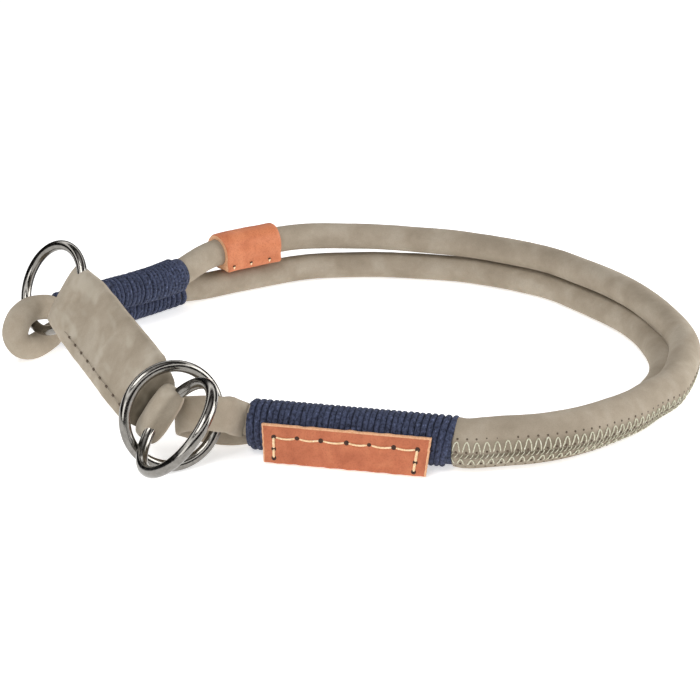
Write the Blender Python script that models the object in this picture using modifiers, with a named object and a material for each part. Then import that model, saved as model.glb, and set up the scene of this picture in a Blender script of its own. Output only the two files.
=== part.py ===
"""Limited-slip dog collar of round leather, lying on a surface as a whole loop.

Two round leather cords, one above the other, run round the back. At the right-hand bend they
become one thicker rolled band, which runs along the front. Thread whippings bind a leather eye
at each end of the loop. Each eye holds a metal ring, and a flat folded strap joins the two: it is
folded round the back ring, passes through the front ring and ends folded round the leash ring.

Metres, +Z up. The origin is the middle of the footprint, at the level of the surface.
"""

import math

import bmesh
import bpy
import numpy as np
from mathutils import Vector

# Loop
LOOP_WIDTH = 0.180
LOOP_DEPTH = 0.142
CORD_DIAMETER = 0.008
BAND_HEIGHT = 0.0126
BAND_WIDTH = 0.0096

# Rings
RING_OUTER_DIAMETER = 0.0268
RING_WIRE = 0.0028

# Eyes
BACK_EYE_HEIGHT = 0.0178
BACK_EYE_CORD = 0.0058
BACK_EYE_WIDTH = 0.0068
FRONT_EYE_LEG_HEIGHT = 0.0088
FRONT_EYE_LEG_THICKNESS = 0.0036
FRONT_EYE_REACH = 0.0157

# Whippings
THREAD_WALL = 0.0008
FRONT_WHIPPING_LENGTH = 0.0507
FRONT_WHIPPING_ANGLE = math.radians(-11.8)
FRONT_WHIPPING_MARGIN = 0.0034
FRONT_WHIPPING_STATIONS = 4
BAND_CORE_HEIGHT = 0.0102
BAND_CORE_WIDTH = 0.0088
BAND_CORE_END = 0.28

# Slip strap
STRAP_WIDTH = 0.0196
STRAP_THICKNESS = 0.0042
STRAP_FOLD_THICKNESS = 0.0066

# Labels
FRONT_LABEL_LENGTH = 0.0403
FRONT_LABEL_HEIGHT = 0.0094
FRONT_LABEL_THICKNESS = 0.0015
FRONT_LABEL_MIDDLE_HEIGHT = 0.0051
FRONT_LABEL_LEAN = math.radians(12.0)
FRONT_LABEL_EDGE = 0.0003
BACK_LABEL_LENGTH = 0.0197
BACK_LABEL_PLACE = -0.1795
BACK_LABEL_THICKNESS = 0.0011
BACK_LABEL_TAB = 0.0018
BACK_LABEL_TAB_ANGLE = math.radians(-46.0)
BACK_LABEL_TAB_SPREAD = math.radians(17.0)
BACK_LABEL_STATIONS = 6

GAP = 0.0003
BORE_GAP = 0.0005
STATION_SPACING = 0.0048
EYE_STATION_SPACING = 0.0034
CORD_SIDES = 14
SLEEVE_SIDES = 20

# Upper cord from the back whipping round the bend into the front band.
# x, y: shares of the loop's width and depth. lift: height of the underside above the surface, as
# a share of the cord's diameter. band: 0 is the round cord, 1 the full front band.
MAIN_CORD_ROUTE = (
    # x, y, lift, band
    (-0.236, 0.391, 1.23, 0.00),
    (-0.174, 0.446, 1.30, 0.00),
    (-0.088, 0.507, 1.28, 0.00),
    (0.000, 0.528, 1.19, 0.00),
    (0.088, 0.525, 1.12, 0.00),
    (0.211, 0.488, 1.05, 0.00),
    (0.324, 0.401, 1.04, 0.00),
    (0.384, 0.313, 1.04, 0.00),
    (0.436, 0.213, 1.02, 0.00),
    (0.472, 0.120, 0.91, 0.02),
    (0.500, -0.004, 0.68, 0.10),
    (0.496, -0.088, 0.44, 0.25),
    (0.462, -0.200, 0.18, 0.45),
    (0.419, -0.263, 0.08, 0.58),
    (0.383, -0.315, 0.03, 0.70),
    (0.319, -0.378, 0.00, 0.84),
    (0.258, -0.418, 0.00, 0.95),
    (0.199, -0.434, 0.00, 1.00),
    (0.158, -0.441, 0.00, 0.97),
)

# Lower cord from the back whipping to the bend, where it runs into the band's inner side.
RETURN_CORD_ROUTE = (
    # x, y, thickness (share of the cord's diameter)
    (-0.252, 0.384, 1.00),
    (-0.190, 0.433, 1.00),
    (-0.088, 0.507, 1.00),
    (0.000, 0.528, 1.00),
    (0.088, 0.525, 1.00),
    (0.211, 0.488, 1.00),
    (0.326, 0.401, 1.00),
    (0.384, 0.310, 1.00),
    (0.439, 0.195, 1.00),
    (0.465, 0.100, 1.00),
    (0.474, -0.020, 1.00),
    (0.461, -0.120, 0.98),
    (0.430, -0.195, 0.90),
    (0.396, -0.245, 0.72),
)

# Middle line of the two strands under the back whipping, from the eye to the open cords.
BACK_WHIPPING_ROUTE = (
    # x, y, lift of the underside, lean of the upper strand to the inside (degrees), strand
    (-0.459, 0.105, 0.17, 0.0, 0.74),
    (-0.400, 0.180, 0.06, 22.0, 0.84),
    (-0.335, 0.262, 0.02, 37.0, 0.94),
    (-0.291, 0.322, 0.00, 36.0, 1.00),
)
EYE_SHARE_OF_WHIPPING = 0.45
WAIST_DEPTH = 0.95

# Back eye, seen square to its plane: along is measured from the whipping's end to the tip of the
# cord's middle line, and half is half the distance between the two strands there.
BACK_EYE_ROUTE = (
    # along, half
    (0.22, 0.80),
    (0.45, 0.97),
    (0.64, 1.00),
    (0.83, 0.82),
    (0.95, 0.45),
    (1.00, 0.00),
)
BACK_EYE_REACH = 0.0164
BACK_EYE_MIDDLE = 0.64
BACK_EYE_HEADING = math.radians(-125.0)

# Front eye, from its front leg round the tip to its back leg.
FRONT_EYE_ROUTE = (
    # along: share of the reach past the whipping; front: share of the leg's thickness, toward the
    # front; rise: share of the leg's height, above the whipping's middle
    (-0.70, 0.55, 0.03),
    (-0.04, 0.50, 0.01),
    (0.07, 0.56, 0.05),
    (0.16, 1.12, 0.29),
    (0.21, 1.88, 0.55),
    (0.28, 2.60, 0.70),
    (0.46, 3.08, 0.80),
    (0.69, 2.96, 0.72),
    (0.91, 2.44, 0.56),
    (1.04, 1.61, 0.33),
    (0.97, 0.80, 0.08),
    (0.74, 0.40, -0.10),
    (0.48, 0.20, -0.16),
    (0.24, 0.00, -0.17),
    (0.07, -0.42, -0.13),
    (-0.10, -0.55, -0.06),
    (-0.70, -0.55, -0.05),
)
FRONT_EYE_SQUEEZE = 0.69
FRONT_EYE_SQUARENESS = 2.3
FRONT_EYE_OPENS_OUT = (0.07, 0.19)

# Rings: centre past the end of the whipping whose eye holds it, and aside from there, then its
# height, all as shares of the ring's outer diameter; yaw of the ring's face from the front and
# its pitch back (degrees).
RINGS = {
    # along, aside, height, yaw, pitch
    "back_ring": (0.2243, 0.2062, 0.772, -46.4, 26.1),
    "front_ring": (0.5590, 0.5331, 0.497, 29.5, 12.2),
    "leash_ring": (0.3808, 0.9657, 0.601, -72.5, 42.8),
}
RING_SEGMENTS = 40
RING_WIRE_SIDES = 10

# Strap, from its fold round the back ring to its fold round the leash ring.
STRAP_SECTIONS = (
    # where: share of the run between the rings, with the folds' overlap past them
    # low, high: edges from the middle line, shares of the width; fold: 0 flat, 1 full fold
    (-0.108, -0.500, 0.255, -0.80),
    (-0.098, -0.520, 0.285, -0.10),
    (-0.072, -0.535, 0.320, 0.60),
    (-0.040, -0.545, 0.345, 0.95),
    (0.000, -0.555, 0.372, 1.00),
    (0.045, -0.570, 0.400, 0.80),
    (0.090, -0.580, 0.412, 0.35),
    (0.150, -0.585, 0.415, 0.06),
    (0.250, -0.585, 0.415, 0.00),
    (0.380, -0.583, 0.412, 0.00),
    (0.520, -0.580, 0.408, 0.00),
    (0.660, -0.575, 0.405, 0.00),
    (0.790, -0.560, 0.400, -0.10),
    (0.860, -0.530, 0.370, -0.45),
    (0.905, -0.500, 0.325, -0.30),
    (0.940, -0.480, 0.295, 0.55),
    (0.970, -0.470, 0.280, 1.00),
    (1.002, -0.465, 0.270, 1.05),
    (1.030, -0.455, 0.255, 0.80),
    (1.050, -0.435, 0.230, 0.15),
    (1.058, -0.410, 0.205, -0.65),
)
STRAP_SIDES = 18
STRAP_SQUARENESS = 3.4


def start_collection(name):
    """Empty the file and return the collar's own collection."""
    for old in list(bpy.data.objects):
        bpy.data.objects.remove(old, do_unlink=True)
    collection = bpy.data.collections.new(name)
    bpy.context.scene.collection.children.link(collection)
    return collection


def make_material(name, colour, roughness, metallic=0.0):
    material = bpy.data.materials.new(name)
    material.use_nodes = True
    shader = material.node_tree.nodes["Principled BSDF"]
    shader.inputs["Base Color"].default_value = (*colour, 1.0)
    shader.inputs["Roughness"].default_value = roughness
    shader.inputs["Metallic"].default_value = metallic
    return material


def unit(vector):
    return vector / np.linalg.norm(vector)


def smooth_line(points, spacing=STATION_SPACING):
    """Catmull-Rom line through the points, and the row number that each station belongs to."""
    points = np.asarray(points, float)
    before = np.vstack([2 * points[0] - points[1], points, 2 * points[-1] - points[-2]])
    line, rows = [], []
    for i in range(len(points) - 1):
        p0, p1, p2, p3 = before[i:i + 4]
        steps = max(1, math.ceil(np.linalg.norm(p2 - p1) / spacing))
        for t in np.arange(steps) / steps:
            bend = (2 * p0 - 5 * p1 + 4 * p2 - p3) * t * t + (3 * p1 - 3 * p2 + p3 - p0) * t ** 3
            line.append(0.5 * (2 * p1 + (p2 - p0) * t + bend))
            rows.append(i + t)
    line.append(points[-1])
    rows.append(len(points) - 1.0)
    return np.array(line), np.array(rows)


def column(values, rows):
    """A table's column read at the stations."""
    return np.interp(rows, np.arange(len(values)), values)


def axes_along(line, side=None):
    """The across and the up direction at each station; side fixes the across direction."""
    tangents = np.gradient(line, axis=0)
    across, up = [], []
    for tangent in tangents:
        tangent = unit(tangent)
        sideways = unit(np.cross(tangent, (0.0, 0.0, 1.0))) if side is None else side
        across.append(sideways)
        up.append(unit(np.cross(sideways, tangent)))
    return np.array(across), np.array(up)


def oval(sides, power=2.0):
    """Unit outline, across then up, with a side flat on the bottom; power above 2 squares it."""
    angles = 2 * math.pi * (np.arange(sides) + 0.5) / sides - math.pi / 2
    cosines, sines = np.cos(angles), np.sin(angles)
    share = 2.0 / power
    return np.stack([
        np.sign(cosines) * np.abs(cosines) ** share,
        np.sign(sines) * np.abs(sines) ** share,
    ], axis=1)


def two_strand_outline(half_distance, radius):
    """Outline wound round two strands, one above the other, with a shallow waist between."""
    angles = 2 * math.pi * (np.arange(SLEEVE_SIDES) + 0.5) / SLEEVE_SIDES
    along = half_distance * np.abs(np.cos(angles))
    reach = along + np.sqrt(radius ** 2 - WAIST_DEPTH * (half_distance * np.sin(angles)) ** 2)
    return np.stack([reach * np.sin(angles), -reach * np.cos(angles)], axis=1)


def add_object(name, mesh_data, material, parent):
    mesh = bpy.data.meshes.new(name)
    mesh_data.to_mesh(mesh)
    mesh_data.free()
    mesh.materials.append(material)
    mesh.shade_smooth()
    mesh.set_sharp_from_angle(angle=math.radians(40))
    made = bpy.data.objects.new(name, mesh)
    COLLECTION.objects.link(made)
    made.parent = parent
    return made


def loft_body(outer, inner=None):
    """Closed body through the outer loops, with a bore through the inner loops if given."""
    body = bmesh.new()
    walls = []
    for loops in (outer, inner):
        if loops is None:
            continue
        rings = [[body.verts.new(Vector(point)) for point in loop] for loop in loops]
        for first, second in zip(rings, rings[1:]):
            for k in range(len(first)):
                after = (k + 1) % len(first)
                body.faces.new((first[k], first[after], second[after], second[k]))
        walls.append(rings)
    if inner is None:
        body.faces.new(walls[0][0])
        body.faces.new(walls[0][-1])
    else:
        for end in (0, -1):
            outside, inside = walls[0][end], walls[1][end]
            for k in range(len(outside)):
                after = (k + 1) % len(outside)
                body.faces.new((outside[k], outside[after], inside[after], inside[k]))
    bmesh.ops.recalc_face_normals(body, faces=body.faces)
    return body


def loops_along(line, outlines, side=None, roll=None):
    """The outlines set square to the line, turned by roll to the inside of the loop."""
    across, up = axes_along(line, side)
    roll = np.zeros(len(line)) if roll is None else roll
    loops = []
    for place, x_axis, z_axis, turn, outline in zip(line, across, up, roll, outlines):
        turned_x = x_axis * math.cos(turn) - z_axis * math.sin(turn)
        turned_z = z_axis * math.cos(turn) + x_axis * math.sin(turn)
        loops.append(place + np.outer(outline[:, 0], turned_x) + np.outer(outline[:, 1], turned_z))
    return loops


def plane_point(x, y):
    """A point of the loop from its shares of the width and the depth."""
    return np.array([x * LOOP_WIDTH, y * LOOP_DEPTH, 0.0])


def back_whipping_line():
    """Middle line of the back whipping with each station's lean and strand diameter."""
    x, y, lift, lean, strand = np.array(BACK_WHIPPING_ROUTE).T
    lean = np.radians(lean)
    strand = strand * CORD_DIAMETER
    half = strand / 2 + GAP / 2
    floor_clearance = lift * CORD_DIAMETER + THREAD_WALL + BORE_GAP
    points = np.array([plane_point(*place) for place in zip(x, y)])
    points[:, 2] = floor_clearance + strand / 2 + half * np.cos(lean)
    line, rows = smooth_line(points)
    return line, column(lean, rows), column(strand, rows)


def strand_line(line, lean, strand, which):
    """Middle line of the upper (+1) or the lower (-1) strand under the back whipping."""
    across, up = axes_along(line)
    half = (strand / 2 + GAP / 2)[:, None]
    toward = across * np.sin(lean)[:, None] + up * np.cos(lean)[:, None]
    return line + which * half * toward


def front_whipping_frame():
    """Centre of the front whipping, its direction to the eye and its direction to the front."""
    right_end = plane_point(*MAIN_CORD_ROUTE[-1][:2])
    to_eye = -np.array([math.cos(FRONT_WHIPPING_ANGLE), math.sin(FRONT_WHIPPING_ANGLE), 0.0])
    centre = right_end + to_eye * (FRONT_WHIPPING_MARGIN + FRONT_WHIPPING_LENGTH / 2)
    centre[2] = BAND_CORE_HEIGHT / 2 + BORE_GAP + THREAD_WALL
    to_front = np.array([-to_eye[1], to_eye[0], 0.0])
    return centre, to_eye, to_front


def front_whipping_mouth():
    """Middle of the front whipping's eye end, and the direction out of it."""
    centre, to_eye, _ = front_whipping_frame()
    return centre + to_eye * FRONT_WHIPPING_LENGTH / 2, to_eye


def main_cord_stations():
    """Line, height and width of the upper cord and the front band."""
    whip_line, lean, strand = back_whipping_line()
    first = round(EYE_SHARE_OF_WHIPPING * (len(whip_line) - 1)) + 1
    start = strand_line(whip_line, lean, strand, 1)[first:]
    start_size = strand[first:]
    x, y, lift, band = np.array(MAIN_CORD_ROUTE).T
    height = CORD_DIAMETER + band * (BAND_HEIGHT - CORD_DIAMETER)
    width = CORD_DIAMETER + band * (BAND_WIDTH - CORD_DIAMETER)
    places = np.array([plane_point(*place) for place in zip(x, y)])
    places[:, 2] = lift * CORD_DIAMETER + height / 2
    centre, to_eye, _ = front_whipping_frame()
    half = FRONT_WHIPPING_LENGTH / 2
    inside = np.array([centre - to_eye * (half + 2 * GAP), centre,
                       centre + to_eye * BAND_CORE_END * half])
    points = np.vstack([start, places, inside])
    line, rows = smooth_line(points)
    heights = column(np.concatenate([start_size, height, [BAND_CORE_HEIGHT] * 3]), rows)
    widths = column(np.concatenate([start_size, width, [BAND_CORE_WIDTH] * 3]), rows)
    return line, heights, widths


def make_main_cord(material, parent):
    line, heights, widths = main_cord_stations()
    shape = oval(CORD_SIDES)
    outlines = [shape * (w / 2, h / 2) for w, h in zip(widths, heights)]
    return add_object("main_cord", loft_body(loops_along(line, outlines)), material, parent)


def make_return_cord(material, parent):
    whip_line, lean, strand = back_whipping_line()
    first = round(EYE_SHARE_OF_WHIPPING * (len(whip_line) - 1)) + 1
    start = strand_line(whip_line, lean, strand, -1)[first:]
    x, y, thickness = np.array(RETURN_CORD_ROUTE).T
    thickness = thickness * CORD_DIAMETER
    places = np.array([plane_point(*place) for place in zip(x, y)])
    places[:, 2] = thickness / 2
    line, rows = smooth_line(np.vstack([start, places]))
    sizes = column(np.concatenate([strand[first:], thickness]), rows)
    shape = oval(CORD_SIDES)
    body = loft_body(loops_along(line, [shape * size / 2 for size in sizes]))
    made = add_object("return_cord", body, material, parent)
    cut_clear_of(made, main_cord_cutter(parent))
    return made


def main_cord_cutter(parent):
    """The front band with a gap added all round, which trims the lower cord's end."""
    line, heights, widths = main_cord_stations()
    shape = oval(CORD_SIDES)
    outlines = [shape * (w / 2 + GAP, h / 2 + GAP) for w, h in zip(widths, heights)]
    cutter = add_object("main_cord_cutter", loft_body(loops_along(line, outlines)),
                        bpy.data.materials["suede"], parent)
    return as_cutter(cutter)


def as_cutter(made):
    COLLECTION.objects.unlink(made)
    CUTTERS.objects.link(made)
    made.hide_render = True
    made.display_type = "WIRE"
    return made


def cut_clear_of(made, cutter):
    cut = made.modifiers.new("clear_of_" + cutter.name, "BOOLEAN")
    cut.operation = "DIFFERENCE"
    cut.object = cutter


def make_back_whipping(material, parent):
    line, lean, strand = back_whipping_line()
    outer, bore = [], []
    for size in strand:
        half = size / 2 + GAP / 2
        bore.append(two_strand_outline(half, size / 2 + BORE_GAP))
        outer.append(two_strand_outline(half, size / 2 + BORE_GAP + THREAD_WALL))
    body = loft_body(loops_along(line, outer, roll=lean), loops_along(line, bore, roll=lean))
    return add_object("back_whipping", body, material, parent)


def back_eye_frame():
    """The whipping's eye end, the direction to the eye's tip, and the normal of its plane."""
    end = back_whipping_line()[0][0]
    ahead = np.array([math.cos(BACK_EYE_HEADING), math.sin(BACK_EYE_HEADING), 0.0])
    normal = np.cross(ahead, (0.0, 0.0, 1.0))
    return end, ahead, normal


def make_back_eye(material, parent):
    whip_line, lean, strand = back_whipping_line()
    last = round(EYE_SHARE_OF_WHIPPING * (len(whip_line) - 1))
    legs = [strand_line(whip_line, lean, strand, side)[:last + 1] for side in (1, -1)]
    end, ahead, normal = back_eye_frame()
    middle_radius = (BACK_EYE_HEIGHT - BACK_EYE_CORD) / 2
    centre_height = BACK_EYE_HEIGHT / 2
    reach = BACK_EYE_REACH
    bend = []
    for along, half in BACK_EYE_ROUTE:
        height = end[2] + (centre_height - end[2]) * min(1.0, along / BACK_EYE_MIDDLE)
        bend.append((along * reach, height + half * middle_radius, height - half * middle_radius))
    upper = [end + ahead * a + (0, 0, top - end[2]) for a, top, _ in bend]
    lower = [end + ahead * a + (0, 0, low - end[2]) for a, _, low in bend[:-1]]
    points = list(legs[0][::-1]) + upper + lower[::-1] + list(legs[1])
    line, rows = smooth_line(points, EYE_STATION_SPACING)
    leg_sizes = list(strand[:last + 1] - GAP)
    bend_rows = len(upper) + len(lower)
    heights = column(leg_sizes[::-1] + [BACK_EYE_CORD] * bend_rows + leg_sizes, rows)
    widths = column(leg_sizes[::-1] + [BACK_EYE_WIDTH] * bend_rows + leg_sizes, rows)
    shape = oval(CORD_SIDES)
    outlines = [shape * (w / 2, h / 2) for w, h in zip(widths, heights)]
    made = add_object("back_eye", loft_body(loops_along(line, outlines, side=normal)), material,
                      parent)
    cut_clear_of(made, as_cutter(make_ring("back_ring", material, parent, clearance=GAP)))
    return made


def make_front_whipping(material, parent):
    centre, to_eye, _ = front_whipping_frame()
    stations = np.linspace(-0.5, 0.5, FRONT_WHIPPING_STATIONS)
    line = np.array([centre + to_eye * FRONT_WHIPPING_LENGTH * s for s in stations])
    shape = oval(SLEEVE_SIDES)
    bore = shape * (BAND_CORE_WIDTH / 2 + BORE_GAP, BAND_CORE_HEIGHT / 2 + BORE_GAP)
    wall = BORE_GAP + THREAD_WALL
    outer = shape * (BAND_CORE_WIDTH / 2 + wall, BAND_CORE_HEIGHT / 2 + wall)
    body = loft_body(loops_along(line, [outer] * FRONT_WHIPPING_STATIONS),
                     loops_along(line, [bore] * FRONT_WHIPPING_STATIONS))
    return add_object("front_whipping", body, material, parent)


def make_front_eye(material, parent):
    _, to_eye, to_front = front_whipping_frame()
    mouth, _ = front_whipping_mouth()
    along, front, rise = np.array(FRONT_EYE_ROUTE).T
    points = np.array([
        mouth + to_eye * a * FRONT_EYE_REACH + to_front * f * FRONT_EYE_LEG_THICKNESS
        + (0, 0, r * FRONT_EYE_LEG_HEIGHT)
        for a, f, r in zip(along, front, rise)
    ])
    line, rows = smooth_line(points, EYE_STATION_SPACING)
    squeeze = np.interp(column(along, rows), FRONT_EYE_OPENS_OUT, (FRONT_EYE_SQUEEZE, 1.0))
    shape = oval(CORD_SIDES, FRONT_EYE_SQUARENESS)
    half = np.array([FRONT_EYE_LEG_THICKNESS / 2, FRONT_EYE_LEG_HEIGHT / 2])
    outlines = [shape * half * (1.0, share) for share in squeeze]
    made = add_object("front_eye", loft_body(loops_along(line, outlines)), material, parent)
    cut_clear_of(made, as_cutter(make_ring("front_ring", material, parent, clearance=GAP)))
    return made


def ring_frame(name):
    """A ring's centre, its normal, and its level and upward directions in its own plane."""
    along, aside, height, yaw, pitch = RINGS[name]
    if name == "back_ring":
        end, ahead, _ = back_eye_frame()
    else:
        end, ahead = front_whipping_mouth()
    sideways = np.array([-ahead[1], ahead[0], 0.0])
    centre = end + (ahead * along + sideways * aside) * RING_OUTER_DIAMETER
    centre[2] = height * RING_OUTER_DIAMETER
    yaw, pitch = math.radians(yaw), math.radians(pitch)
    normal = np.array([math.sin(yaw) * math.cos(pitch), -math.cos(yaw) * math.cos(pitch),
                       math.sin(pitch)])
    level = unit(np.cross(normal, (0.0, 0.0, 1.0)))
    return centre, normal, level, unit(np.cross(level, normal))


def make_ring(name, material, parent, clearance=0.0):
    centre, normal, _, _ = ring_frame(name)
    middle_radius = (RING_OUTER_DIAMETER - RING_WIRE) / 2
    bpy.ops.mesh.primitive_torus_add(
        major_segments=RING_SEGMENTS, minor_segments=RING_WIRE_SIDES,
        major_radius=middle_radius, minor_radius=RING_WIRE / 2 + clearance,
        location=Vector(centre), rotation=Vector(normal).to_track_quat("Z", "Y").to_euler())
    made = bpy.context.object
    made.name = name if clearance == 0.0 else name + "_cutter"
    made.data.name = made.name
    made.data.materials.append(material)
    made.data.shade_smooth()
    for home in list(made.users_collection):
        home.objects.unlink(made)
    COLLECTION.objects.link(made)
    made.parent = parent
    return made


def strap_frame():
    """The strap's start at the back ring, its run to the leash ring, and its width and face."""
    middle_radius = (RING_OUTER_DIAMETER - RING_WIRE) / 2
    back_centre, back_normal, back_level, _ = ring_frame("back_ring")
    leash_centre, leash_normal, leash_level, _ = ring_frame("leash_ring")
    start = back_centre - back_level * middle_radius
    run = leash_centre + leash_level * middle_radius - start
    along = unit(run)
    face = (back_normal + leash_normal) / 2
    face = unit(face - along * (face @ along))
    width = np.cross(along, face)
    if width[2] < 0:
        width = -width
    return start, run, width, face


def make_slip_strap(material, parent):
    start, run, width, face = strap_frame()
    shape = oval(STRAP_SIDES, STRAP_SQUARENESS)
    loops = []
    for where, low, high, fold in STRAP_SECTIONS:
        middle, half = (low + high) / 2 * STRAP_WIDTH, (high - low) / 2 * STRAP_WIDTH
        spread = STRAP_FOLD_THICKNESS - STRAP_THICKNESS
        half_thickness = (STRAP_THICKNESS + fold * spread) / 2
        centre = start + where * run + width * middle
        loops.append(centre + np.outer(shape[:, 0] * half, width)
                     + np.outer(shape[:, 1] * half_thickness, face))
    made = add_object("slip_strap", loft_body(loops), material, parent)
    for ring in ("back_ring", "leash_ring"):
        cut_clear_of(made, as_cutter(make_ring(ring, material, parent, clearance=GAP)))
    return made


def make_front_label(material, parent):
    """Flat tab on the front of the whipping, its lower edge standing a little proud."""
    centre, to_eye, to_front = front_whipping_frame()
    lean = FRONT_LABEL_LEAN
    wall = BORE_GAP + THREAD_WALL
    reach = math.hypot((BAND_CORE_WIDTH / 2 + wall) * math.cos(lean),
                       (BAND_CORE_HEIGHT / 2 + wall) * math.sin(lean))
    face = to_front * math.cos(lean) + np.array([0, 0, math.sin(lean)])
    rise = np.array([0, 0, 1.0]) * math.cos(lean) - to_front * math.sin(lean)
    middle = centre + face * (reach + GAP + FRONT_LABEL_THICKNESS / 2)
    middle += rise * (FRONT_LABEL_MIDDLE_HEIGHT - middle[2]) / rise[2]
    half_sizes = (FRONT_LABEL_LENGTH / 2, FRONT_LABEL_HEIGHT / 2, FRONT_LABEL_THICKNESS / 2)
    body = bmesh.new()
    bmesh.ops.create_cube(body, size=2.0)
    for vertex in body.verts:
        along, up, out = (c * h for c, h in zip(vertex.co, half_sizes))
        vertex.co = Vector(middle - to_eye * along + rise * up + face * out)
    bmesh.ops.recalc_face_normals(body, faces=body.faces)
    made = add_object("front_label", body, material, parent)
    edge = made.modifiers.new("cut_edge", "BEVEL")
    edge.width = FRONT_LABEL_EDGE
    edge.segments = 2
    return made


def make_back_label(material, parent):
    """Strip wrapped round the upper cord, its two ends stitched together below the cord."""
    line, heights, _ = main_cord_stations()
    lengths = np.concatenate([[0], np.cumsum(np.linalg.norm(np.diff(line, axis=0), axis=1))])
    back_run = (line[:, 0] < 0) & (line[:, 1] > 0)
    middle = np.interp(BACK_LABEL_PLACE * LOOP_WIDTH, line[back_run, 0], lengths[back_run])
    steps = middle + np.linspace(-0.5, 0.5, BACK_LABEL_STATIONS) * BACK_LABEL_LENGTH
    path = np.stack([np.interp(steps, lengths, line[:, k]) for k in range(3)], axis=1)
    circle = oval(SLEEVE_SIDES)
    bore = circle * (CORD_DIAMETER / 2 + BORE_GAP)
    radius = CORD_DIAMETER / 2 + BORE_GAP + BACK_LABEL_THICKNESS
    angles = np.arctan2(circle[:, 1], circle[:, 0])
    nearness = np.exp(-((angles - BACK_LABEL_TAB_ANGLE) / BACK_LABEL_TAB_SPREAD) ** 2)
    outer = circle * (radius + BACK_LABEL_TAB * nearness)[:, None]
    body = loft_body(loops_along(path, [outer] * BACK_LABEL_STATIONS),
                     loops_along(path, [bore] * BACK_LABEL_STATIONS))
    return add_object("back_label", body, material, parent)


def set_origin_to_footprint(root):
    """Move the whole collar so that the origin is the middle of its footprint."""
    bpy.context.view_layer.update()
    corners = []
    graph = bpy.context.evaluated_depsgraph_get()
    for made in COLLECTION.objects:
        if made.type == "MESH":
            mesh = made.evaluated_get(graph).to_mesh()
            corners += [made.matrix_world @ vertex.co for vertex in mesh.vertices]
    corners = np.array(corners)
    low, high = corners.min(axis=0), corners.max(axis=0)
    root.location = Vector((-(low[0] + high[0]) / 2, -(low[1] + high[1]) / 2, -low[2]))


COLLECTION = start_collection("dog_collar")
CUTTERS = bpy.data.collections.new("cutters")
bpy.context.scene.collection.children.link(CUTTERS)

root = bpy.data.objects.new("collar_root", None)
COLLECTION.objects.link(root)

suede = make_material("suede", (0.36, 0.31, 0.25), 0.85)
thread = make_material("navy_thread", (0.045, 0.055, 0.11), 0.75)
label_leather = make_material("label_leather", (0.60, 0.19, 0.09), 0.6)
ring_metal = make_material("ring_metal", (0.32, 0.31, 0.30), 0.2, metallic=1.0)

make_main_cord(suede, root)
make_return_cord(suede, root)
make_back_eye(suede, root)
make_front_eye(suede, root)
make_slip_strap(suede, root)
make_back_whipping(thread, root)
make_front_whipping(thread, root)
make_front_label(label_leather, root)
make_back_label(label_leather, root)
for ring_name in RINGS:
    make_ring(ring_name, ring_metal, root)
set_origin_to_footprint(root)
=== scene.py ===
"""Limited-slip dog collar: suede, wound thread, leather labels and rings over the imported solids."""

import math

import bpy
import numpy as np
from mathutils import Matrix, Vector, noise


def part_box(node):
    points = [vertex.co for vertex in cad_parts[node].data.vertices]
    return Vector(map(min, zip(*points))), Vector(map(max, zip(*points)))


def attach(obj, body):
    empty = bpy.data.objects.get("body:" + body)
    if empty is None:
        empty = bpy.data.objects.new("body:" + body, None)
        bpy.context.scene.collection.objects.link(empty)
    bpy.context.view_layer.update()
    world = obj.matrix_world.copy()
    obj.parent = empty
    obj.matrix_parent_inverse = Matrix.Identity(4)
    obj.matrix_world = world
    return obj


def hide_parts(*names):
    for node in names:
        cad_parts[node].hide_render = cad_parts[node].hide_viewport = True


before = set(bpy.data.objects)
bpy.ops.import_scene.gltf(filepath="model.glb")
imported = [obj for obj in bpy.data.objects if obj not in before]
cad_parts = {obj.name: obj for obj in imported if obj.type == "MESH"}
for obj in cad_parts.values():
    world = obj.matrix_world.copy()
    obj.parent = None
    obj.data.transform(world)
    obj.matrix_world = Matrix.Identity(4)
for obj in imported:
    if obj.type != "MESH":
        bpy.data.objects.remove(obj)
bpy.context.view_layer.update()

# Sizes in metres, as the solids have them; the back eye's cord and the strap's rolls are fuller.
LOOP_WIDTH = 0.18
LOOP_DEPTH = 0.142
CORD_DIAMETER = 0.008
BAND_HEIGHT = 0.0126
BAND_WIDTH = 0.0096
RING_OUTER_DIAMETER = 0.0268
RING_WIRE = 0.0028
BACK_EYE_HEIGHT = 0.0178
BACK_EYE_CORD = 0.0069
BACK_EYE_WIDTH = 0.0074
BACK_EYE_REACH = 0.0164
BACK_EYE_MIDDLE = 0.64
BACK_EYE_HEADING = math.radians(-125.0)
FRONT_EYE_LEG_HEIGHT = 0.0088
FRONT_EYE_LEG_THICKNESS = 0.0036
FRONT_EYE_REACH = 0.0157
FRONT_EYE_SQUEEZE = 0.69
THREAD_WALL = 0.0008
GAP = 0.0003
BORE_GAP = 0.0005
FRONT_WHIPPING_LENGTH = 0.0507
FRONT_WHIPPING_ANGLE = math.radians(-11.8)
FRONT_WHIPPING_MARGIN = 0.0034
BAND_CORE_HEIGHT = 0.0102
BAND_CORE_WIDTH = 0.0088
STRAP_WIDTH = 0.0196
STRAP_THICKNESS = 0.0042
STRAP_FOLD_THICKNESS = 0.0066
FRONT_LABEL_LENGTH = 0.0403
FRONT_LABEL_HEIGHT = 0.0094
FRONT_LABEL_THICKNESS = 0.0015
FRONT_LABEL_MIDDLE_HEIGHT = 0.0051
FRONT_LABEL_LEAN = math.radians(12.0)
BACK_LABEL_LENGTH = 0.0197
BACK_LABEL_PLACE = -0.1795
BACK_LABEL_THICKNESS = 0.0011
BACK_LABEL_TAB = 0.0018
BACK_LABEL_TAB_ANGLE = math.radians(-46.0)
BACK_LABEL_RADIUS = CORD_DIAMETER / 2 + BORE_GAP + BACK_LABEL_THICKNESS
BACK_LABEL_END = 1.0 - 0.0003 / 0.0056

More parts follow.
